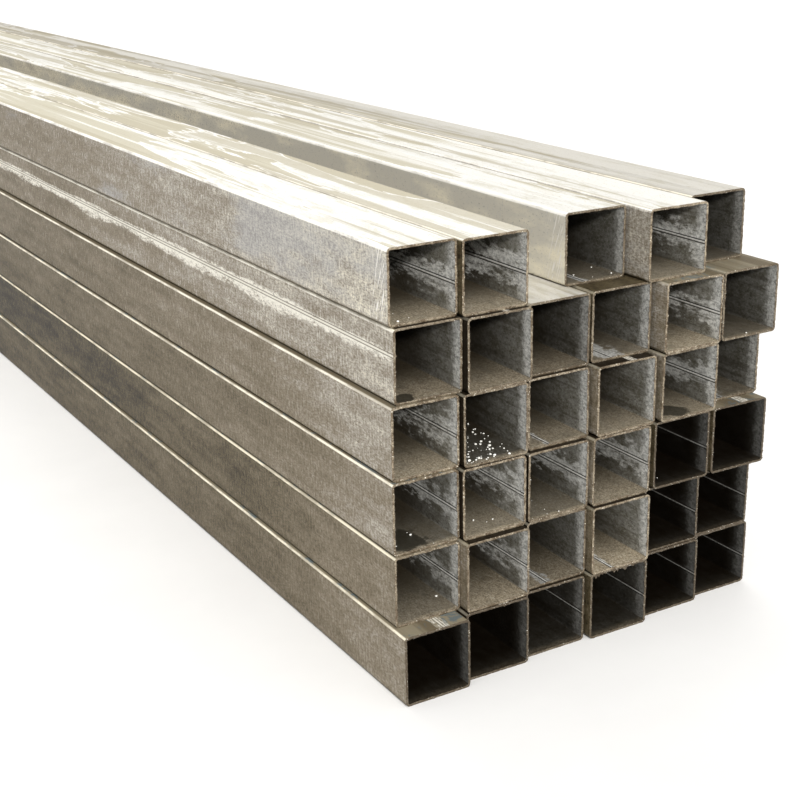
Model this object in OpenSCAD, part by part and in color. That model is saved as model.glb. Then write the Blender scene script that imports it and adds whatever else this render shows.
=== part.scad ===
// Stack of square steel tubes: six rows of six slots, lying flat, one slot of the
// top row empty. All sizes in millimetres. The tubes run along +Y and the uneven
// near ends face -Y. The stack rests on z = 0.

/* [Tube] */
// Outside width and height of the square tube
tube_w = 100; // [60:1:150]
// Wall thickness
wall = 3; // [2:0.5:4]
// Outside corner radius
corner_r = 6; // [4.5:0.5:9]
// Length of each tube
tube_len = 6000; // [2000:50:12000]

/* [Stacking] */
// Usual side gap between neighbouring tubes of a row
side_gap = 4; // [3:0.5:12]
// Share of the uneven set-back of the near ends that is kept
unevenness = 1; // [0:0.05:1.5]

/* [Hidden] */
$fn = 48;
rows = 6;
cols = 6;
inner_w = tube_w - 2 * wall;
inner_r = corner_r - wall;
pitch = tube_w + side_gap;

// Sideways shift of every tube from its even place, row 1 is the bottom row
shift_row1 = [0, -1, -3, 0, 2, 2];
shift_row2 = [4, 1, 1, 0, 0, -2];
shift_row3 = [5, 2, 2, 3, 8, 11];
shift_row4 = [8, 6, 6, 9, 14, 13];
shift_row5 = [15, 12, 9, 10, 14, 14];
shift_row6 = [12, 9, 0, -7, -6, -6];
shifts = [shift_row1, shift_row2, shift_row3, shift_row4, shift_row5, shift_row6];

// Set-back of every near end behind the foremost one
back_row1 = [0, 13, 23, 18, 31, 41];
back_row2 = [30, 15, 28, 17, 33, 39];
back_row3 = [33, 26, 27, 24, 26, 26];
back_row4 = [37, 29, 35, 25, 22, 50];
back_row5 = [40, 29, 41, 43, 20, 22];
back_row6 = [46, 36, 0, 82, 36, 76];
backs = [back_row1, back_row2, back_row3, back_row4, back_row5, back_row6];

// The third slot of the top row holds no tube
function present(r, c) = !(r == 6 && c == 3);
function left_x(r, c) = (c - 1) * pitch + shifts[r - 1][c - 1];
function near_y(r, c) = unevenness * backs[r - 1][c - 1];

left_edges = [for (r = [1:rows]) for (c = [1:cols]) if (present(r, c)) left_x(r, c)];
near_ends = [for (r = [1:rows]) for (c = [1:cols]) if (present(r, c)) near_y(r, c)];
mid_x = (min(left_edges) + max(left_edges) + tube_w) / 2;
mid_y = (min(near_ends) + max(near_ends) + tube_len) / 2;

// A filled square with round corners, its lower left corner at the origin
module round_square(w, r) {
    translate([r, 0]) square([w - 2 * r, w]);
    translate([0, r]) square([w, w - 2 * r]);
    translate([r, r]) circle(r = r);
    translate([w - r, r]) circle(r = r);
    translate([r, w - r]) circle(r = r);
    translate([w - r, w - r]) circle(r = r);
}

// The cross section of one tube
module tube_section() {
    difference() {
        round_square(tube_w, corner_r);
        translate([wall, wall]) round_square(inner_w, inner_r);
    }
}

// One tube lying along +Y, its lower left near corner at the origin
module tube() {
    translate([0, tube_len, 0])
        rotate([90, 0, 0])
            linear_extrude(height = tube_len) tube_section();
}

// One tube in its place in the stack
module placed_tube(r, c) {
    color("silver")
        translate([left_x(r, c) - mid_x, near_y(r, c) - mid_y, (r - 1) * tube_w])
            tube();
}

for (r = [1:rows]) {
    for (c = [1:cols]) {
        if (present(r, c)) {
            placed_tube(r, c);
        }
    }
}
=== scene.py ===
"""A stack of galvanised square steel tubes on a plain pale floor.

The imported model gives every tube's place. Each tube is replaced by a detailed one: round-cornered
skins, a weld bead in the bore, saw-cut ends with burrs, and weathered zinc. Metres throughout.
"""
import functools
import math
import random

import bmesh
import bpy
import numpy as np
from mathutils import Matrix, Vector, noise


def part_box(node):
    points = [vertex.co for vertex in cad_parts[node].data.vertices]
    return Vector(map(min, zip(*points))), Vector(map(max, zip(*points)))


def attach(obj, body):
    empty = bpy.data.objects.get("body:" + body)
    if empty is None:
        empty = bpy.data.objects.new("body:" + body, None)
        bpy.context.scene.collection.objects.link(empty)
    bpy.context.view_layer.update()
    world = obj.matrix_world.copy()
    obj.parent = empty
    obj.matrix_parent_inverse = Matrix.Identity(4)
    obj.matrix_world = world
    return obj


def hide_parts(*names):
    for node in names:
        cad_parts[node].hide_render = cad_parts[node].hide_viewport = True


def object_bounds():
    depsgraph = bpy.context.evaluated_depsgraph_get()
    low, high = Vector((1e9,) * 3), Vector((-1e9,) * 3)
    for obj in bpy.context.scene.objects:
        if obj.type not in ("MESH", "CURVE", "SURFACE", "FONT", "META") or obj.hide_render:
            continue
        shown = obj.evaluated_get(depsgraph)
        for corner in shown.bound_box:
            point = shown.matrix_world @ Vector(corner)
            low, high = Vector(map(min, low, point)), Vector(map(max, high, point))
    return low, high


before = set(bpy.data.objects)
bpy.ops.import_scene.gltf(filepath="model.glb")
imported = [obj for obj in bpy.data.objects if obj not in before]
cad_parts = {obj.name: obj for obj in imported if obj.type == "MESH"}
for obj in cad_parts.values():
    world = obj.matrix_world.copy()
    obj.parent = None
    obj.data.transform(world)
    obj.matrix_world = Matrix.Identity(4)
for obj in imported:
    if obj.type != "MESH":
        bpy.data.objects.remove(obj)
cad_low, cad_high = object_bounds()

# ---------------------------------------------------------------- sizes
WALL = 0.003
OUTER_RADIUS = 0.006
SIDE_STEPS = 44          # outline points along each flat side
CORNER_STEPS = 7         # outline points round each corner
BEAD_HEIGHT = 0.0009
BEAD_HALF_WIDTH = 0.0016
BEAD_FALL = 1.4          # how steeply the bead falls off beside its top
BEAD_REACH = 0.01        # the wall is flat from here on
# outline points round the seam, and how far the evenly spaced ones stay from it
BEAD_POINTS = (-0.0045, -0.0028, -0.0016, -0.0008, 0.0, 0.0008, 0.0016, 0.0028, 0.0045)
SEAM_CLEARANCE = 0.00585
NO_SEAM = 1.0            # stands for the distance from the seam where there is none
CUT_INSET = 0.0011       # the saw cut lies this far inside the CAD end, so that burrs stay in its box
CUT_SKEW = 0.0022        # how far a corner of a cut end may lie behind the others
SKEW_SPAN = 0.1          # the width that the skew is spread over
CUT_WAVES = 260          # noise along the cut, in waves a metre
BURR_WAVES = 330         # noise of the burr in the bore, in waves a metre
BURR = 0.0009            # how far burrs stand out along the tube
BORE_BURR = 0.0007       # how far they reach into the bore
BRISTLE = 0.0045         # the longest bristle on the one mouth that has them
EDGE_BREAK = 0.00035     # the broken outer edge of a cut
# distances of the outline rings from a cut end
RINGS = (0.0006, 0.003, 0.010, 0.030, 0.090, 0.270, 0.800)
LUMP_STRETCH = ((0.8, 1.3), (0.8, 1.3), (0.6, 0.9))     # how much a crumb is stretched along each axis
LUMPINESS = 0.45         # how uneven a crumb is
LUMP_REST = 0.7          # height of a crumb's middle over the floor, as a share of its half height
CRUMB_START = 0.007      # no crumb lies nearer the mouth than this
CRUMB_SPREAD = 1.6       # how far in crumbs reach, beside their distance from the left wall

# ---------------------------------------------------------------- what each tube is like
# One mark for each tube of a row, first column first, bottom row first, and - for the empty place.
# The wall that the weld seam lies in: R right, B bottom, L left, T top.
SEAM_WALLS = ("TTRRRR", "RRBBRR", "RRRRRT", "RTBTRB", "LTLBRL", "RR-BRL")
# How much painted shadow darkens the bore, 0 none to 9 nearly black.
BORE_SHADOW_MARKS = ("998899", "335199", "313399", "143235", "446415", "11-516")
# How much dust lies on the bore's floor, 0 none to 9 covered.
FLOOR_DUST = ("000000", "487800", "243700", "606564", "889473", "66-443")
# How much zinc was sprayed beside the seam, 0 none to 9 plenty.
SEAM_SPRAY = ("001122", "663253", "686830", "902076", "000870", "79-280")
# How clean the skins are on their left and on top, 0 black, 3 brown, 9 bare zinc, f white: partly real
# grime, partly painted shade between tubes and towards the bottom row, and painted light on the slot side
# marked f.
LEFT_SKINS = ("400200", "360500", "500622", "600770", "800370", "92-f93")
TOP_SKINS = ("300000", "300000", "400004", "500000", "007245", "99-887")
# Skins hidden between tubes take the darkest mark, as painted shade in the gaps.
OPEN_RIGHT_SKIN, SHADED_HIDDEN_SKIN = 6, 0
BROWN, BARE = 3, 9
MOST = 9                 # the highest mark for painted shadow, dust and spray
# Where the seam lies across its wall, from the wall's middle, as a share of the tube's width.
SEAM_PLACES = {"R": -0.07, "B": -0.14, "L": 0.15, "T": 0.1}
# How many crumbs of lime and zinc lie in a bore, and how large the largest is.
CRUMBS = {"tube_row4_col2": (64, 0.0020), "tube_row3_col3": (11, 0.0014), "tube_row3_col1": (4, 0.0020),
          "tube_row2_col1": (1, 0.0016), "tube_row6_col1": (3, 0.0018), "tube_row5_col6": (2, 0.0014),
          "tube_row3_col2": (3, 0.0016), "tube_row3_col5": (3, 0.0012), "tube_row6_col4": (5, 0.0012)}
# A damp patch on a bore's floor: across from the middle, in from the near end, and radius.
DAMP = {"tube_row5_col1": (-0.030, 0.018, 0.017), "tube_row3_col1": (-0.016, 0.036, 0.034),
        "tube_row4_col5": (-0.010, 0.026, 0.022)}
NO_DAMP = (0.0, -1.0, 0.01)      # a patch far outside the tube
BRISTLY = "tube_row1_col4"

TUBES = sorted(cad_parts)


def row_and_column(node):
    """The row and column numbers in a node's name."""
    row, column = node.replace("tube_row", "").split("_col")
    return int(row), int(column)


def level(marks, row, column):
    """A tube's digit in one of the lists above."""
    return int(marks[row - 1][column - 1], 16)


def cleanness(row, column, normal):
    """How clean the outside is where it faces along normal, with skins hidden between tubes darkest as
    painted shade, and how far it is in the open there.
    """
    open_right = column == 6 or (row, column) == (6, 2)
    open_left = column == 1 or (row, column) == (6, 4)
    if normal[0] < 0:
        side, side_open = level(LEFT_SKINS, row, column), open_left
    else:
        side, side_open = OPEN_RIGHT_SKIN if open_right else SHADED_HIDDEN_SKIN, open_right
    faces_up = normal[1] > 0
    upright = level(TOP_SKINS, row, column) if faces_up else SHADED_HIDDEN_SKIN
    digit = side * normal[0] ** 2 + upright * normal[1] ** 2
    in_open = side_open * normal[0] ** 2 + (row == 6 and faces_up) * normal[1] ** 2
    return (digit - BROWN) / (BARE - BROWN), in_open


# ---------------------------------------------------------------- mesh building
# The slots of the materials in a tube's mesh.
OUTSIDE, INSIDE, CUT, CRUMB = range(4)


def side_positions(flat, seam_at):
    """Places along a flat side of the outline, closer together round the weld seam."""
    even = np.linspace(-flat / 2, flat / 2, SIDE_STEPS)
    if seam_at is None:
        return list(even)
    keep = [p for p in even if abs(p - seam_at) > SEAM_CLEARANCE]
    return sorted(keep + [seam_at + p for p in BEAD_POINTS])


def outline(width, seam_wall, seam_at):
    """The tube's section: for each point the outside place, inside place, normal and seam distance."""
    half, flat = width / 2, width - 2 * OUTER_RADIUS
    inner_radius = OUTER_RADIUS - WALL
    points = []
    # the walls in turn, anticlockwise from the bottom: outward normal and the direction walked
    walls = (("B", (0, -1), (1, 0)), ("R", (1, 0), (0, 1)),
             ("T", (0, 1), (-1, 0)), ("L", (-1, 0), (0, -1)))
    for name, normal, along in walls:
        normal, along = np.array(normal, float), np.array(along, float)
        sign = 1 if name in "BR" else -1      # the seam's place is measured along +X or +Z
        here = sign * seam_at if name == seam_wall else None
        for p in side_positions(flat, here):
            off = NO_SEAM if here is None else abs(p - here)
            fall = math.exp(-(off / BEAD_HALF_WIDTH) ** 2 * BEAD_FALL)
            bead = BEAD_HEIGHT * fall if off < BEAD_REACH else 0.0
            outside = normal * half + along * p
            inside = normal * (half - WALL - bead) + along * p
            points.append((outside, inside, normal, off))
        centre = (normal + along) * (half - OUTER_RADIUS)
        for step in range(1, CORNER_STEPS + 1):
            angle = math.pi / 2 * step / (CORNER_STEPS + 1)
            turned = normal * math.cos(angle) + along * math.sin(angle)
            outside = centre + turned * OUTER_RADIUS
            inside = centre + turned * inner_radius
            points.append((outside, inside, turned, NO_SEAM))
    return points


def end_wobble(place, seed, end):
    """How far behind the CAD end the cut lies at a place of the section: skew plus burr."""
    pick = random.Random(f"{seed}{end}")
    slope = Vector((pick.uniform(-1, 1), pick.uniform(-1, 1)))
    skew = CUT_SKEW * 0.5 * (1 + (slope.x * place[0] + slope.y * place[1]) / SKEW_SPAN)
    at = Vector((place[0] * CUT_WAVES + seed, place[1] * CUT_WAVES, 7.0 * end))
    ragged = noise.noise(at) + 0.6 * noise.noise(at * 2.7)
    return CUT_INSET + skew + BURR * max(-1.0, min(1.0, ragged))


def bore_burr(node, place, normal, seed, end):
    """How far the burr reaches into the bore at a place of the cut, with bristles on top in one mouth."""
    at = Vector((place[0] * BURR_WAVES + seed, place[1] * BURR_WAVES, 3.0 + end))
    burr = BORE_BURR * max(0.0, 0.4 + 1.6 * noise.noise(at))
    if node == BRISTLY and end == 0 and normal[1] > 0.5:
        burr += BRISTLE * max(0.0, 2.4 * noise.noise(at * 1.7)) ** 2
    return min(burr, BRISTLE)


class TubeMesh:
    """The points and faces of one tube, with the facts that its materials read at each point."""

    def __init__(self, node):
        self.node = node
        self.low, self.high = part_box(node)
        self.row, self.column = row_and_column(node)
        self.seed = self.row * 7.3 + self.column * 3.1      # differs from tube to tube
        self.centre = ((self.low.x + self.high.x) / 2, (self.low.z + self.high.z) / 2)
        self.width = self.high.x - self.low.x
        self.length = self.high.y - self.low.y
        seam_wall = SEAM_WALLS[self.row - 1][self.column - 1]
        self.section = outline(self.width, seam_wall, SEAM_PLACES[seam_wall] * self.width)
        self.verts = []
        self.faces = []
        self.kinds = []
        # what the materials read at each point
        self.local = []
        self.skin = []
        self.kind = []
        self.weld = []
        self.edge = []

    def point(self, place, distance, facing, weld, edge, tone=(0.0, 0.0)):
        """Adds a point: its place in the section, distance from the near end, and what materials read."""
        self.verts.append((self.centre[0] + place[0], self.low.y + distance, self.centre[1] + place[1]))
        self.local.append((place[0], distance, place[1]))
        self.skin.append((facing[0], 0.0, facing[1]))
        self.kind.append((self.seed, *tone))
        self.weld.append(weld)
        self.edge.append(edge)

    def ring(self, layer, distances, edge, shrink=None):
        """Adds one ring of the outer skin or the bore, shifted inwards against the normals by shrink."""
        first = len(self.verts)
        shrink = shrink or [0.0] * len(self.section)
        for (outside, inside, normal, weld), distance, inward in zip(self.section, distances, shrink):
            base, side = (outside, 1) if layer == "outside" else (inside, -1)
            tone = cleanness(self.row, self.column, normal)
            self.point(base - normal * inward, distance, normal * side, weld, edge, tone)
        return first

    def bridge(self, a, b, kind, flip=False):
        """Joins two rings with faces of a material."""
        count = len(self.section)
        for i in range(count):
            j = (i + 1) % count
            quad = (a + i, a + j, b + j, b + i)
            self.faces.append(quad[::-1] if flip else quad)
            self.kinds.append(kind)

    def crumb(self, x, distance, radius, pick):
        """Adds one lump, lying on the bore's floor."""
        first = len(self.verts)
        floor = -self.width / 2 + WALL
        stretch = [pick.uniform(*limits) for limits in LUMP_STRETCH]
        for corner in LUMP_POINTS:
            bump = 1 + LUMPINESS * noise.noise(corner * 1.7 + Vector((x, distance, radius)) * 900)
            dx, dy, dz = (c * bump * radius * s for c, s in zip(corner, stretch))
            rise = max(dz + radius * stretch[2] * LUMP_REST, 0.0)
            self.point((x + dx, floor + rise), distance + dy, (0.0, 1.0), NO_SEAM, distance)
        for face in LUMP_FACES:
            self.faces.append(tuple(first + i for i in face))
            self.kinds.append(CRUMB)

    def crumbs(self):
        """Scatters the crumbs over the bore's floor, further in towards its right-hand wall."""
        count, largest = CRUMBS[self.node]
        pick = random.Random(self.node)
        reach = self.width / 2 - WALL - 2 * largest
        for _ in range(count):
            x = pick.uniform(-reach, reach)
            deepest = (x + self.width / 2) * CRUMB_SPREAD
            distance = CRUMB_START + deepest * pick.random() ** 1.6
            self.crumb(x, distance, largest * pick.uniform(0.25, 1.0) ** 1.5, pick)

    def cut_rings(self, wobble, sign, burr):
        """Adds the outer and inner rings of a saw cut; sign points into the tube."""
        outside = [w + sign * EDGE_BREAK * 0.3 for w in wobble]
        inside = [w + sign * EDGE_BREAK * 0.4 for w in wobble]
        outer = self.ring("outside", outside, 0.0, [EDGE_BREAK] * len(wobble))
        return outer, self.ring("inside", inside, 0.0, [b - EDGE_BREAK for b in burr])

    def build(self):
        """Makes the skins, the cuts and the crumbs."""
        near = [end_wobble(outside, self.seed, 0) for outside, *_ in self.section]
        far = [self.length - end_wobble(outside, self.seed, 1) for outside, *_ in self.section]
        stations = [([n + d for n in near], d) for d in RINGS]
        stations += [([self.length / 2] * len(near), self.length / 2)]
        stations += [([f - d for f in far], d) for d in reversed(RINGS)]
        near_burr, far_burr = (
            [bore_burr(self.node, inside, normal, self.seed, end) for _, inside, normal, _ in self.section]
            for end in (0, 1))
        burrs = [near_burr] + [None] * (len(stations) - 2) + [far_burr]

        outer = [self.ring("outside", distances, d) for distances, d in stations]
        inner = [self.ring("inside", distances, d, burr) for (distances, d), burr in zip(stations, burrs)]
        near_out, near_in = self.cut_rings(near, 1, near_burr)
        far_out, far_in = self.cut_rings(far, -1, far_burr)

        for a, b in zip(outer, outer[1:]):
            self.bridge(a, b, OUTSIDE)
        for a, b in zip(inner, inner[1:]):
            self.bridge(a, b, INSIDE, flip=True)
        cut_steps = ((near_out, outer[0]), (near_in, near_out), (inner[0], near_in),
                     (outer[-1], far_out), (far_out, far_in), (far_in, inner[-1]))
        for a, b in cut_steps:
            self.bridge(a, b, CUT)
        if self.node in CRUMBS:
            self.crumbs()

    def finish(self):
        """Turns the points and faces into a piece that rides and replaces its CAD tube."""
        self.build()
        mesh = bpy.data.meshes.new(self.node + "_mesh")
        mesh.from_pydata(self.verts, [], self.faces)
        mesh.polygons.foreach_set("material_index", self.kinds)
        mesh.polygons.foreach_set("use_smooth", [True] * len(self.faces))
        count = len(self.verts)
        bore = [level(marks, self.row, self.column) / MOST for marks in (SEAM_SPRAY, FLOOR_DUST, BORE_SHADOW_MARKS)]
        add_vectors(mesh, "tube_local", self.local)
        add_vectors(mesh, "tube_skin", self.skin)
        add_vectors(mesh, "tube_kind", self.kind)
        add_vectors(mesh, "tube_bore", [bore] * count)
        add_vectors(mesh, "tube_damp", [DAMP.get(self.node, NO_DAMP)] * count)
        add_values(mesh, "tube_weld", self.weld)
        add_values(mesh, "tube_edge", self.edge)
        mesh.update()
        sharpen_rims(mesh, self.kinds)
        tube = bpy.data.objects.new(self.node.replace("tube_", "zinc_tube_"), mesh)
        bpy.context.scene.collection.objects.link(tube)
        for material in (outside_zinc, inside_zinc, saw_cut, white_crumb):
            mesh.materials.append(material)
        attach(tube, "root")
        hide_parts(self.node)


def lump():
    """The points and faces of a ball of radius 1, which crumbs are made from."""
    ball = bmesh.new()
    bmesh.ops.create_icosphere(ball, subdivisions=2, radius=1.0)
    points = [v.co.copy() for v in ball.verts]
    faces = [[v.index for v in f.verts] for f in ball.faces]
    ball.free()
    return points, faces


LUMP_POINTS, LUMP_FACES = lump()


def add_vectors(mesh, name, values):
    """Stores a vector for each point of the mesh."""
    attribute = mesh.attributes.new(name, "FLOAT_VECTOR", "POINT")
    attribute.data.foreach_set("vector", np.array(values, np.float32).ravel())


def add_values(mesh, name, values):
    """Stores a number for each point of the mesh."""
    mesh.attributes.new(name, "FLOAT", "POINT").data.foreach_set("value", values)


def sharpen_rims(mesh, kinds):
    """Marks the edges between skin and cut as sharp, so that each is shaded by itself."""
    of_edge = {}
    for polygon in mesh.polygons:
        for key in polygon.edge_keys:
            of_edge.setdefault(key, set()).add(kinds[polygon.index])
    sharp = [len(of_edge[tuple(sorted(e.vertices))]) > 1 for e in mesh.edges]
    mesh.attributes.new("sharp_edge", "BOOLEAN", "EDGE").data.foreach_set("value", sharp)


# ---------------------------------------------------------------- shader helpers
class Surface:
    """A material and short calls that add nodes to it."""

    def __init__(self, name, roughness, metallic):
        self.material = bpy.data.materials.new(name)
        self.material.use_nodes = True
        self.nodes = self.material.node_tree.nodes
        self.links = self.material.node_tree.links
        self.shader = self.nodes["Principled BSDF"]
        self.shader.inputs["Roughness"].default_value = roughness
        self.shader.inputs["Metallic"].default_value = metallic

    def put(self, socket, value):
        """Links an output to the socket or sets the socket, and leaves it alone where value is None."""
        if isinstance(value, bpy.types.NodeSocket):
            self.links.new(value, socket)
        elif value is not None:
            socket.default_value = value

    def fill(self, kind, values, **settings):
        """A new node with its first inputs filled in turn."""
        node = self.nodes.new(kind)
        for name, setting in settings.items():
            setattr(node, name, setting)
        for socket, value in zip(node.inputs, values):
            self.put(socket, value)
        return node

    def attribute(self, name, output="Vector"):
        return self.fill("ShaderNodeAttribute", (), attribute_name=name).outputs[output]

    def parts(self, vector):
        """The three parts of a vector."""
        return self.fill("ShaderNodeSeparateXYZ", (vector,)).outputs

    def combined(self, x, y, z=0.0):
        return self.fill("ShaderNodeCombineXYZ", (x, y, z)).outputs[0]

    def length(self, vector):
        return self.fill("ShaderNodeVectorMath", (vector,), operation="LENGTH").outputs["Value"]

    def maths(self, operation, a, b):
        return self.fill("ShaderNodeMath", (a, b), operation=operation).outputs[0]

    def plus(self, *values):
        """The sum of the values."""
        return functools.reduce(functools.partial(self.maths, "ADD"), values)

    def times(self, *values):
        """The product of the values."""
        return functools.reduce(functools.partial(self.maths, "MULTIPLY"), values)

    def grain(self, vector, scale, detail=2.0, rough=0.5, twist=0.0):
        """Noise from 0 to 1 with its own scale along each axis, in waves a metre."""
        scaled = self.fill("ShaderNodeVectorMath", (vector, scale), operation="MULTIPLY").outputs[0]
        node = self.nodes.new("ShaderNodeTexNoise")
        self.put(node.inputs["Vector"], scaled)
        self.put(node.inputs["Scale"], 1.0)
        self.put(node.inputs["Detail"], detail)
        self.put(node.inputs["Roughness"], rough)
        self.put(node.inputs["Distortion"], twist)
        return node.outputs[0]

    def span(self, value, start, end, low=0.0, high=1.0, curve="SMOOTHSTEP"):
        """The value mapped from start..end to low..high, and held at the ends."""
        values = (value, start, end, low, high)
        return self.fill("ShaderNodeMapRange", values, interpolation_type=curve).outputs[0]

    def blend(self, share, a, b):
        """The colour between a and b at that share."""
        node = self.nodes.new("ShaderNodeMix")
        node.data_type = "RGBA"
        self.put(node.inputs[0], share)
        self.put(node.inputs[6], a)
        self.put(node.inputs[7], b)
        return node.outputs[2]

    def over(self, colour, top, value, start, end, share=1.0):
        """The colour with top laid over it: none where value is start, that share of it where it is end."""
        return self.blend(self.span(value, start, end, 0.0, share), colour, top)

    def stripe(self, value, start, full, fading, end):
        """One where the value is from full to fading, and zero before start and after end."""
        return self.times(self.span(value, start, full), self.span(value, fading, end, 1.0, 0.0))

    def finish(self, colour, roughness=None, height=None, depth=0.0004):
        """Sets the colour, and where given the roughness and a bump of that depth in metres."""
        self.put(self.shader.inputs["Base Color"], colour)
        self.put(self.shader.inputs["Roughness"], roughness)
        if height is not None:
            bump = self.nodes.new("ShaderNodeBump")
            self.put(bump.inputs["Distance"], depth)
            self.put(bump.inputs["Strength"], 1.0)
            self.put(bump.inputs["Height"], height)
            self.put(self.shader.inputs["Normal"], bump.outputs[0])
        return self.material


class TubeSurface(Surface):
    """A material of the tubes, with what its patterns read at each point."""

    def __init__(self, name, roughness, metallic):
        super().__init__(name, roughness, metallic)
        local = self.attribute("tube_local")
        self.across, self.along, self.upward = self.parts(local)
        self.rightward, _, self.up = self.parts(self.attribute("tube_skin"))
        seed, self.clean, self.in_open = self.parts(self.attribute("tube_kind"))
        self.spray, self.dust, self.painted_shadow = self.parts(self.attribute("tube_bore"))
        self.weld = self.attribute("tube_weld", "Fac")
        self.edge = self.attribute("tube_edge", "Fac")
        # the place on the tube, moved so that no two tubes share a pattern
        moved = (local, self.combined(seed, seed, seed))
        self.place = self.fill("ShaderNodeVectorMath", moved, operation="ADD").outputs[0]


def grey(value):
    """A grey of that lightness."""
    return (value, value, value, 1.0)


# ---------------------------------------------------------------- colours
# the skins, from grimy and shaded to bleached and lit, and what lies on them
BLACK_GRIME_AND_SHADE = (0.014, 0.010, 0.006, 1)
OLIVE_BROWN = (0.098, 0.077, 0.042, 1)
DULL_ZINC = (0.238, 0.199, 0.143, 1)
BARE_ZINC = (0.352, 0.322, 0.278, 1)
BLEACHED_AND_LIT_ZINC = (0.88, 0.83, 0.68, 1)
BLUISH_ZINC = (0.33, 0.34, 0.37, 1)
DULL_FLECK = (0.42, 0.38, 0.29, 1)
CLEAN_FLECK = (0.74, 0.72, 0.68, 1)
DARK_SPECK = (0.06, 0.048, 0.03, 1)
SCRATCH = (0.84, 0.82, 0.78, 1)
# the upward skins, their pale base partly weathered zinc and partly painted light from above
LIT_CHALK = (0.88, 0.875, 0.84, 1)
CREAM = (0.72, 0.70, 0.60, 1)
STAIN = (0.60, 0.56, 0.43, 1)
STAIN_BORDER = (0.96, 0.955, 0.925, 1)
TAN_STREAK = (0.53, 0.485, 0.365, 1)
WHITE_STREAK = (0.95, 0.945, 0.91, 1)
BROWN_SPECK = (0.36, 0.31, 0.22, 1)
DULL_TOP = (0.27, 0.235, 0.165, 1)
DULL_TOP_STREAK = (0.15, 0.122, 0.078, 1)
BLUE_SMEAR = (0.105, 0.145, 0.165, 1)
# the seam outside
SPRAYED_ZINC = (0.88, 0.85, 0.76, 1)
SEAM_LINE = (0.11, 0.09, 0.06, 1)
SEAM_RIDGE = (0.72, 0.69, 0.60, 1)
# the corners, with painted shade and painted highlights, and the ends
LOWER_CORNER_SHADE = (0.085, 0.067, 0.043, 1)
RIGHT_CORNER_SHADE = (0.12, 0.095, 0.055, 1)
DULL_HIGHLIGHT = (0.95, 0.88, 0.70, 1)
CLEAN_HIGHLIGHT = (1.0, 0.98, 0.92, 1)
END_GRIME = (0.07, 0.052, 0.030, 1)
# the dust on a bore's floor, darker further in as painted shade
NEAR_DUST = (0.47, 0.39, 0.275, 1)
DEEP_SHADED_DUST = (0.19, 0.165, 0.115, 1)
NEAR_PALE_DUST = (0.80, 0.73, 0.58, 1)
DEEP_SHADED_PALE_DUST = (0.36, 0.33, 0.25, 1)
DARK_DUST = (0.10, 0.078, 0.048, 1)
WET_DUST = (0.030, 0.028, 0.020, 1)
# the bore
BORE_DARK = (0.205, 0.195, 0.155, 1)
BORE_LIGHT = (0.36, 0.355, 0.325, 1)
BORE_FLECK = (0.56, 0.555, 0.52, 1)
BORE_SPECK = (0.08, 0.07, 0.05, 1)
BORE_STREAK = (0.09, 0.078, 0.055, 1)
BORE_FLOOR = (0.055, 0.048, 0.034, 1)
BORE_DEPTH_SHADE = (0.030, 0.022, 0.012, 1)
DULL_SPRAY = (0.48, 0.48, 0.46, 1)
BRIGHT_SPRAY = (0.92, 0.92, 0.88, 1)
# the near black of painted shadow in bores that lie in shade
SHADOW_BLACK = (0.0045, 0.0027, 0.0010, 1)
MOUTH_BAND_DULL = (0.33, 0.333, 0.32, 1)
MOUTH_BAND_BRIGHT = (0.80, 0.80, 0.77, 1)
BEAD = (0.74, 0.73, 0.69, 1)
GUTTER_SHADE = (0.009, 0.007, 0.005, 1)
MOUTH_LINE = (0.035, 0.025, 0.014, 1)
# the saw cut and the crumbs
CUT_STEEL = (0.27, 0.225, 0.160, 1)
CUT_RUST = (0.10, 0.070, 0.040, 1)
CUT_MARK = (0.42, 0.37, 0.28, 1)
CUT_PIT = (0.035, 0.024, 0.014, 1)
# painted shadow on the cut ends of shaded bores
CUT_SHADOW = (0.045, 0.032, 0.018, 1)
CUT_FLECK = (0.85, 0.82, 0.74, 1)
GREY_LIME = (0.55, 0.54, 0.50, 1)
WHITE_LIME = (0.90, 0.90, 0.87, 1)


# ---------------------------------------------------------------- materials
# Noise lies mostly between 0.35 and 0.65, so most patterns start and end within that. Distances
# from the seam and from the cut end are in metres.
def weathered(s, tone):
    """The colour of a skin from black with grime and painted shade through olive brown to bare zinc, and
    bleached white that also carries painted light.
    """
    colour = s.blend(s.span(tone, -0.5, 0.0), BLACK_GRIME_AND_SHADE, OLIVE_BROWN)
    steps = ((0.0, 0.7, DULL_ZINC), (0.7, 1.05, BARE_ZINC), (1.05, 1.8, BLEACHED_AND_LIT_ZINC))
    for start, end, cleaner in steps:
        colour = s.blend(s.span(tone, start, end, curve="LINEAR"), colour, cleaner)
    return colour


def skin_tone(s, rain, grit, clouds, mottle):
    """How clean the skin is at each point, with painted light near the ends and painted shade further
    along, on the scale that weathered() reads.
    """
    streaks = s.grain(s.place, (60, 0.5, 60), 4.0, 0.6)
    # painted light and shade: skins in the open are lighter near the ends, and all skins darker further
    # along
    near_end_light = s.times(s.in_open, s.span(s.edge, 0.0, 0.50, 0.45, 0.0), s.span(s.clean, 0.0, 1.0, 1.0, 0.45))
    far_shade = s.times(s.span(s.edge, 0.4, 1.5), s.span(s.clean, -0.3, 0.8, -0.26, -0.36))
    patches = s.plus(s.span(clouds, 0.35, 0.65, -0.10, 0.14),
                     s.span(mottle, 0.35, 0.65, -0.12, 0.12),
                     s.span(streaks, 0.35, 0.65, 0.08, -0.08),
                     s.span(rain, 0.38, 0.62, -0.13, 0.17),
                     s.span(grit, 0.38, 0.62, -0.20, 0.24))
    patches = s.times(patches, s.span(s.clean, -0.5, 0.0, 0.25, 1.0))
    return s.plus(s.plus(s.clean, near_end_light), s.plus(far_shade, patches))


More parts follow.
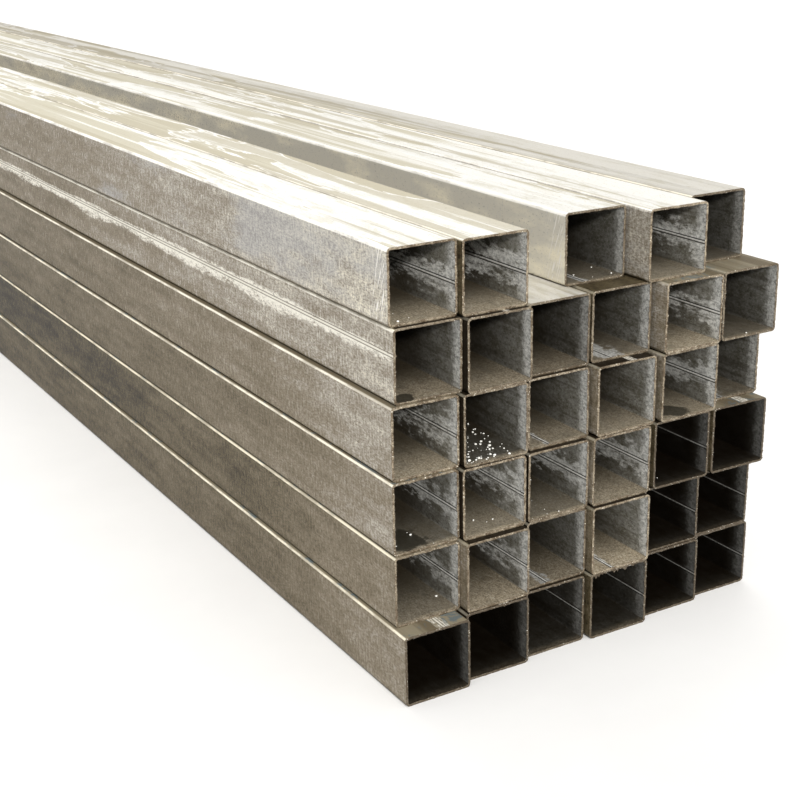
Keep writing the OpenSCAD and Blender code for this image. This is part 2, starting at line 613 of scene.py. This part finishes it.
def flecked(s, colour, rain, grit, clouds):
    """Pale flecks, dark specks and a bluish sheen on the cleanest skins."""
    flecks = s.times(s.span(rain, 0.57, 0.66, 0.0, 0.7), s.in_open)
    flecks = s.times(flecks, s.span(s.clean, 0.2, 1.0, 0.25, 1.0))
    colour = s.blend(flecks, colour, s.blend(s.clean, DULL_FLECK, CLEAN_FLECK))
    colour = s.over(colour, DARK_SPECK, grit, 0.42, 0.33, 0.45)
    bluish = s.times(s.span(s.clean, 0.85, 1.0), s.span(clouds, 0.45, 0.6, 0.0, 0.45))
    return s.blend(bluish, colour, BLUISH_ZINC)


def scratched(s, colour):
    """A few scratches cross the cleanest skins, close to the end."""
    slant = s.plus(s.along, s.times(s.upward, 0.35))
    strokes = s.grain(s.combined(slant, s.upward), (330, 26, 1), 2.0, 0.5)
    close_by = s.stripe(s.edge, 0.004, 0.010, 0.025, 0.050)
    reached = s.times(close_by, s.times(s.span(s.clean, 0.9, 0.97), s.in_open))
    return s.blend(s.times(s.span(strokes, 0.56, 0.60, 0.0, 0.9), reached), colour, SCRATCH)


def pale_lit_top(s, grit):
    """The upward skins: bleached zinc painted near white, partly as painted light from above, with long
    streaks, and stains with wavy bright borders further in.
    """
    marble = s.grain(s.place, (60, 15, 60), 6.0, 0.7, 0.5)
    streaks = s.grain(s.place, (34, 0.5, 34), 5.0, 0.6)
    pools = s.grain(s.place, (14, 1.4, 14), 5.0, 0.55, 0.6)
    smears = s.grain(s.place, (50, 32, 50), 4.0, 0.65, 0.8)
    pool = s.plus(pools, s.span(s.edge, 0.1, 1.0, -0.08, 0.035))
    colour = s.over(LIT_CHALK, CREAM, marble, 0.46, 0.60, 0.7)
    colour = s.over(colour, STAIN, pool, 0.53, 0.545, 0.85)
    colour = s.over(colour, TAN_STREAK, streaks, 0.52, 0.58, 0.75)
    colour = s.over(colour, WHITE_STREAK, streaks, 0.46, 0.40, 0.8)
    border = s.stripe(pool, 0.505, 0.523, 0.533, 0.538)
    colour = s.blend(s.times(border, 0.8), colour, STAIN_BORDER)
    colour = s.over(colour, BROWN_SPECK, grit, 0.45, 0.30, 0.6)
    dull = s.over(DULL_TOP, DULL_TOP_STREAK, streaks, 0.4, 0.6)
    bluish = s.times(s.span(smears, 0.52, 0.60, 0.0, 0.8), s.span(s.clean, 0.1, 0.4, 1.0, 0.0))
    dull = s.blend(bluish, dull, BLUE_SMEAR)
    return s.blend(s.span(s.clean, 0.3, 1.0), dull, colour)


def outer_seam(s, colour, clouds, mottle):
    """The weld seam: two thin lines in a feathery band of sprayed zinc, most of it below them."""
    feathers = s.grain(s.place, (330, 130, 330), 5.0, 0.8)
    below = s.span(s.upward, 0.0135, 0.0155, 1.0, 0.45)
    reach = s.times(below, s.span(clouds, 0.38, 0.62, 0.012, 0.024))
    band = s.span(s.maths("DIVIDE", s.weld, reach), 0.0, 1.0, 1.0, 0.0, "LINEAR")
    dense = s.plus(feathers, s.times(band, 0.22), s.span(mottle, 0.35, 0.65, -0.05, 0.05))
    sprayed = s.times(s.span(dense, 0.47, 0.68, 0.0, 0.9), s.span(band, 0.0, 0.25))
    colour = s.blend(sprayed, colour, SPRAYED_ZINC)
    lines = s.stripe(s.weld, 0.0010, 0.0018, 0.0026, 0.0034)
    colour = s.blend(s.times(lines, 0.8), colour, SEAM_LINE)
    return s.blend(s.span(s.weld, 0.0004, 0.0010, 0.7, 0.0), colour, SEAM_RIDGE)


def corners_and_ends(s, colour, mottle):
    """Painted shade on the lower and right-hand corners, a thin painted highlight on the upper left one, a
    dark end.
    """
    # Painted shade on the lower corners, where the groove between rows lies in shadow.
    colour = s.over(colour, LOWER_CORNER_SHADE, s.up, -0.55, -0.95, 0.4)
    # Painted shade on the upper right corners, beside the gaps between tubes.
    right_corner = s.times(s.span(s.rightward, 0.2, 0.6), s.span(s.up, 0.3, 0.6))
    colour = s.blend(s.times(right_corner, 0.8), colour, RIGHT_CORNER_SHADE)
    # Painted highlight: a thin bright line along the upper left corner, fullest on skins in the open.
    lowest = s.span(s.clean, 0.5, 0.8, 0.32, 0.10)
    highlight = s.times(s.span(s.maths("SUBTRACT", s.up, lowest), 0.0, 0.2),
                    s.span(s.up, 0.80, 0.92, 1.0, 0.0),
                    s.span(mottle, 0.38, 0.56, 0.5, 1.0),
                    s.span(s.in_open, 0.2, 0.5, 0.25, 1.0),
                    s.span(s.rightward, 0.0, 0.2, 1.0, 0.0))
    colour = s.blend(highlight, colour, s.blend(s.clean, DULL_HIGHLIGHT, CLEAN_HIGHLIGHT))
    ragged = s.plus(s.edge, s.times(mottle, 0.0025))
    return s.blend(s.span(ragged, 0.0014, 0.0030, 0.75, 0.0), colour, END_GRIME)


def make_outside_zinc():
    s = TubeSurface("outside_zinc", 0.45, 0.2)
    s.put(s.shader.inputs["Specular IOR Level"], 0.12)
    rain = s.grain(s.place, (240, 260, 60), 4.0, 0.75)
    grit = s.grain(s.place, (380, 150, 400), 3.0, 0.75)
    clouds = s.grain(s.place, (10, 3.2, 10), 5.0, 0.6)
    mottle = s.grain(s.place, (60, 14, 50), 5.0, 0.65)

    colour = weathered(s, skin_tone(s, rain, grit, clouds, mottle))
    colour = flecked(s, colour, rain, grit, clouds)
    colour = scratched(s, colour)
    top = s.times(s.span(s.up, 0.55, 0.9), s.span(s.clean, -0.10, 0.0))
    colour = s.blend(top, colour, pale_lit_top(s, grit))
    colour = outer_seam(s, colour, clouds, mottle)
    colour = corners_and_ends(s, colour, mottle)

    roughness = s.span(grit, 0.2, 0.8, 0.36, 0.56)
    height = s.plus(s.times(rain, 0.4), s.times(clouds, 0.8))
    return s.finish(colour, roughness, height, 0.0006)


def dusty_floor(s, colour):
    """Tan dust on the floor of the bore, most of it at the mouth, painted darker further in as shade, and
    damp patches.
    """
    facing_up = s.span(s.up, 0.2, 0.85)
    mottle = s.grain(s.place, (45, 30, 45), 5.0, 0.65)
    speckle = s.grain(s.place, (520, 380, 520), 2.0, 0.7)
    lip = s.span(s.plus(s.edge, s.times(mottle, 0.012)), 0.008, 0.022, 0.9, 0.0)
    lying = s.maths("MAXIMUM", lip, s.times(s.dust, s.span(mottle, 0.25, 0.55, 0.6, 1.0)))
    # Painted shade: the dust's colour darkens further into the bore.
    deep_shade = s.span(s.edge, 0.0, 0.16)
    pale = s.blend(deep_shade, NEAR_PALE_DUST, DEEP_SHADED_PALE_DUST)
    dust = s.over(s.blend(deep_shade, NEAR_DUST, DEEP_SHADED_DUST), pale, speckle, 0.52, 0.64, 0.8)
    dust = s.over(dust, DARK_DUST, speckle, 0.46, 0.36, 0.75)
    colour = s.blend(s.times(facing_up, lying), colour, dust)

    damp_across, damp_along, damp_radius = s.parts(s.attribute("tube_damp"))
    sideways = s.maths("SUBTRACT", s.across, damp_across)
    inward = s.maths("SUBTRACT", s.along, damp_along)
    share_out = s.maths("DIVIDE", s.length(s.combined(sideways, inward)), damp_radius)
    wavy = s.plus(share_out, s.times(mottle, 2.2))
    wet = s.times(s.span(wavy, 1.85, 2.15, 1.0, 0.0), facing_up, 0.85)
    return s.blend(wet, colour, WET_DUST)


def inner_spray(s, colour, grit, mottle):
    """Sprayed zinc beside the weld bead."""
    wisps = s.grain(s.place, (220, 70, 220), 5.0, 0.75)
    waves = s.grain(s.place, (40, 9, 60), 4.0, 0.6)
    reach = s.times(s.spray, s.span(mottle, 0.38, 0.62, 0.016, 0.040))
    share_out = s.maths("DIVIDE", s.weld, s.maths("MAXIMUM", reach, 0.0001))
    band = s.span(share_out, 0.0, 1.0, 1.0, 0.0, "LINEAR")
    dense = s.plus(wisps, s.times(band, 0.20), s.span(waves, 0.35, 0.65, -0.09, 0.09))
    sprayed = s.times(s.span(dense, 0.46, 0.72), s.span(band, 0.0, 0.3))
    return s.blend(sprayed, colour, s.over(DULL_SPRAY, BRIGHT_SPRAY, grit, 0.35, 0.62))


def bright_mouth_band(s, colour, grit, mottle, drips):
    """A bright band round the mouth on the walls, with a ragged edge, weaker in a bore with painted shadow.
    """
    ragged = s.plus(s.edge, s.times(s.plus(drips, mottle), 0.026))
    mouth = s.times(s.span(ragged, 0.033, 0.050, 0.85, 0.0),
                    s.span(s.up, 0.1, 0.5, 1.0, 0.0),
                    s.span(s.painted_shadow, 0.3, 1.0, 1.0, 0.16))
    return s.blend(mouth, colour, s.over(MOUTH_BAND_DULL, MOUTH_BAND_BRIGHT, grit, 0.35, 0.6))


def inner_bead(s, colour, grit, drips):
    """The weld bead is a bright line that dims deeper in and in painted shadow, between gutters of painted
    shade, and the edge of the mouth is dark.
    """
    bead = s.times(s.span(s.weld, 0.0005, 0.0012, 0.85, 0.0),
                   s.span(s.edge, 0.02, 0.16, 1.0, 0.35),
                   s.span(s.painted_shadow, 0.3, 1.0, 1.0, 0.45),
                   s.span(drips, 0.38, 0.55, 0.5, 1.0))
    colour = s.blend(bead, colour, BEAD)
    # Painted shade in the gutters beside the bead.
    gutter_shade = s.stripe(s.weld, 0.0010, 0.0016, 0.0024, 0.0032)
    colour = s.blend(s.times(gutter_shade, 0.95), colour, GUTTER_SHADE)
    ragged = s.plus(s.edge, s.times(grit, 0.002))
    return s.blend(s.span(ragged, 0.0012, 0.0026, 0.85, 0.0), colour, MOUTH_LINE)


def make_inside_zinc():
    s = TubeSurface("inside_zinc", 0.5, 0.2)
    s.put(s.shader.inputs["Specular IOR Level"], 0.2)
    mottle = s.grain(s.place, (60, 40, 70), 5.0, 0.65)
    grit = s.grain(s.place, (330, 210, 330), 3.0, 0.75)
    drips = s.grain(s.place, (300, 200, 90), 5.0, 0.75)
    streaks = s.grain(s.place, (120, 2.0, 120), 4.0, 0.65)

    colour = s.over(BORE_DARK, BORE_LIGHT, mottle, 0.3, 0.7)
    colour = s.over(colour, BORE_FLECK, grit, 0.52, 0.62, 0.5)
    colour = s.over(colour, BORE_SPECK, grit, 0.47, 0.36, 0.65)
    colour = s.over(colour, BORE_STREAK, streaks, 0.50, 0.68, 0.55)
    colour = s.over(colour, BORE_FLOOR, s.up, 0.2, 0.85, 0.7)
    colour = dusty_floor(s, colour)
    # Painted shade: the bore grows darker further in from the mouth.
    colour = s.over(colour, BORE_DEPTH_SHADE, s.edge, 0.015, 0.14, 0.87)
    colour = inner_spray(s, colour, grit, mottle)
    # Painted shadow: a bore that lies in shade is painted nearly black a few centimetres in.
    colour = s.blend(s.times(s.painted_shadow, s.span(s.edge, 0.010, 0.040, 0.92, 0.99)), colour, SHADOW_BLACK)
    colour = bright_mouth_band(s, colour, grit, mottle, drips)
    colour = inner_bead(s, colour, grit, drips)

    roughness = s.span(mottle, 0.3, 0.7, 0.40, 0.60)
    height = s.plus(mottle, s.times(grit, 0.4))
    return s.finish(colour, roughness, height, 0.0004)


def make_saw_cut():
    s = TubeSurface("saw_cut", 0.5, 0.3)
    rust = s.grain(s.place, (60, 60, 60), 5.0, 0.7)
    marks = s.grain(s.place, (520, 520, 520), 3.0, 0.7)
    colour = s.over(CUT_STEEL, CUT_RUST, rust, 0.4, 0.6)
    colour = s.over(colour, CUT_MARK, marks, 0.52, 0.70, 0.8)
    colour = s.over(colour, CUT_PIT, marks, 0.47, 0.38, 0.75)
    # Painted shadow also darkens the cut end of a shaded bore.
    colour = s.blend(s.times(s.painted_shadow, 0.85), colour, CUT_SHADOW)
    colour = s.over(colour, CUT_FLECK, marks, 0.645, 0.68, 0.9)
    return s.finish(colour, s.span(rust, 0.3, 0.7, 0.45, 0.65), marks, 0.0004)


def make_white_crumb():
    s = TubeSurface("white_crumb", 0.7, 0.0)
    grains = s.grain(s.place, (700, 700, 700), 3.0, 0.6)
    colour = s.over(GREY_LIME, WHITE_LIME, grains, 0.35, 0.6)
    return s.finish(colour, s.span(grains, 0.3, 0.7, 0.6, 0.8), grains, 0.0003)


outside_zinc = make_outside_zinc()
inside_zinc = make_inside_zinc()
saw_cut = make_saw_cut()
white_crumb = make_white_crumb()

for tube_node in TUBES:
    TubeMesh(tube_node).finish()


# ---------------------------------------------------------------- floor, light and camera
FLOOR_REACH = 400.0      # metres from the middle to the floor's edge


def make_floor():
    r = FLOOR_REACH
    mesh = bpy.data.meshes.new("floor_mesh")
    corners = [(-r, -r, 0), (r, -r, 0), (r, r, 0), (-r, r, 0)]
    mesh.from_pydata(corners, [], [(0, 1, 2, 3)])
    floor = bpy.data.objects.new("floor", mesh)
    bpy.context.scene.collection.objects.link(floor)
    s = Surface("pale_floor", 0.9, 0.0)
    place = s.nodes.new("ShaderNodeTexCoord").outputs["Object"]
    speckle = s.grain(place, (6, 6, 6), 4.0, 0.6)
    mesh.materials.append(s.finish(s.blend(speckle, grey(0.74), grey(0.80))))


def add_sun(name, energy, spread, colour, way, glare=True):
    """A soft sun, spread in degrees, shining along way, and without glare unseen in reflections."""
    lamp = bpy.data.lights.new(name, "SUN")
    lamp.energy = energy
    lamp.angle = math.radians(spread)
    lamp.color = colour
    lamp_object = bpy.data.objects.new(name, lamp)
    bpy.context.scene.collection.objects.link(lamp_object)
    lamp_object.visible_glossy = glare
    lamp_object.rotation_euler = Vector(way).to_track_quat("-Z", "Y").to_euler()


def make_light():
    add_sun("low_front", 4.6, 6.0, (1.0, 0.975, 0.93), (0.20, 0.90, -0.41))
    add_sun("overhead", 1.4, 70.0, (1.0, 0.99, 0.97), (0.10, 0.15, -1.0))
    add_sun("behind", 1.0, 60.0, (1.0, 0.99, 0.97), (-0.30, -0.80, -0.45), glare=False)
    world = bpy.data.worlds.new("studio")
    bpy.context.scene.world = world
    world.use_nodes = True
    sky = world.node_tree.nodes["Background"]
    sky.inputs["Color"].default_value = (0.985, 0.99, 1.0, 1)
    sky.inputs["Strength"].default_value = 0.36


CAMERA_TURN = (-30.22, 19.23, -1.11)     # azimuth, elevation and roll in degrees
CAMERA_LENS = 65.66                      # millimetres, on a sensor 36 mm wide
CAMERA_LEFT, CAMERA_BEFORE, CAMERA_HEIGHT = 0.836, 1.432, 1.003     # metres from the stack's corner


def make_camera():
    """The camera stands in front of the near ends and to their left, about a metre up."""
    azimuth, elevation, roll = (math.radians(angle) for angle in CAMERA_TURN)
    data = bpy.data.cameras.new("camera")
    data.sensor_width = 36.0
    data.lens = CAMERA_LENS
    camera = bpy.data.objects.new("camera", data)
    bpy.context.scene.collection.objects.link(camera)
    back = Vector((math.sin(azimuth) * math.cos(elevation), -math.cos(azimuth) * math.cos(elevation),
                   math.sin(elevation)))
    camera.location = (cad_low.x - CAMERA_LEFT, cad_low.y - CAMERA_BEFORE, CAMERA_HEIGHT)
    turn = (-back).to_track_quat("-Z", "Y").to_matrix() @ Matrix.Rotation(roll, 3, "Z")
    camera.rotation_euler = turn.to_euler()
    bpy.context.scene.camera = camera


make_floor()
make_light()
make_camera()
bpy.context.scene.view_settings.view_transform = "Standard"

# ---------------------------------------------------------------- the end
bpy.context.view_layer.update()
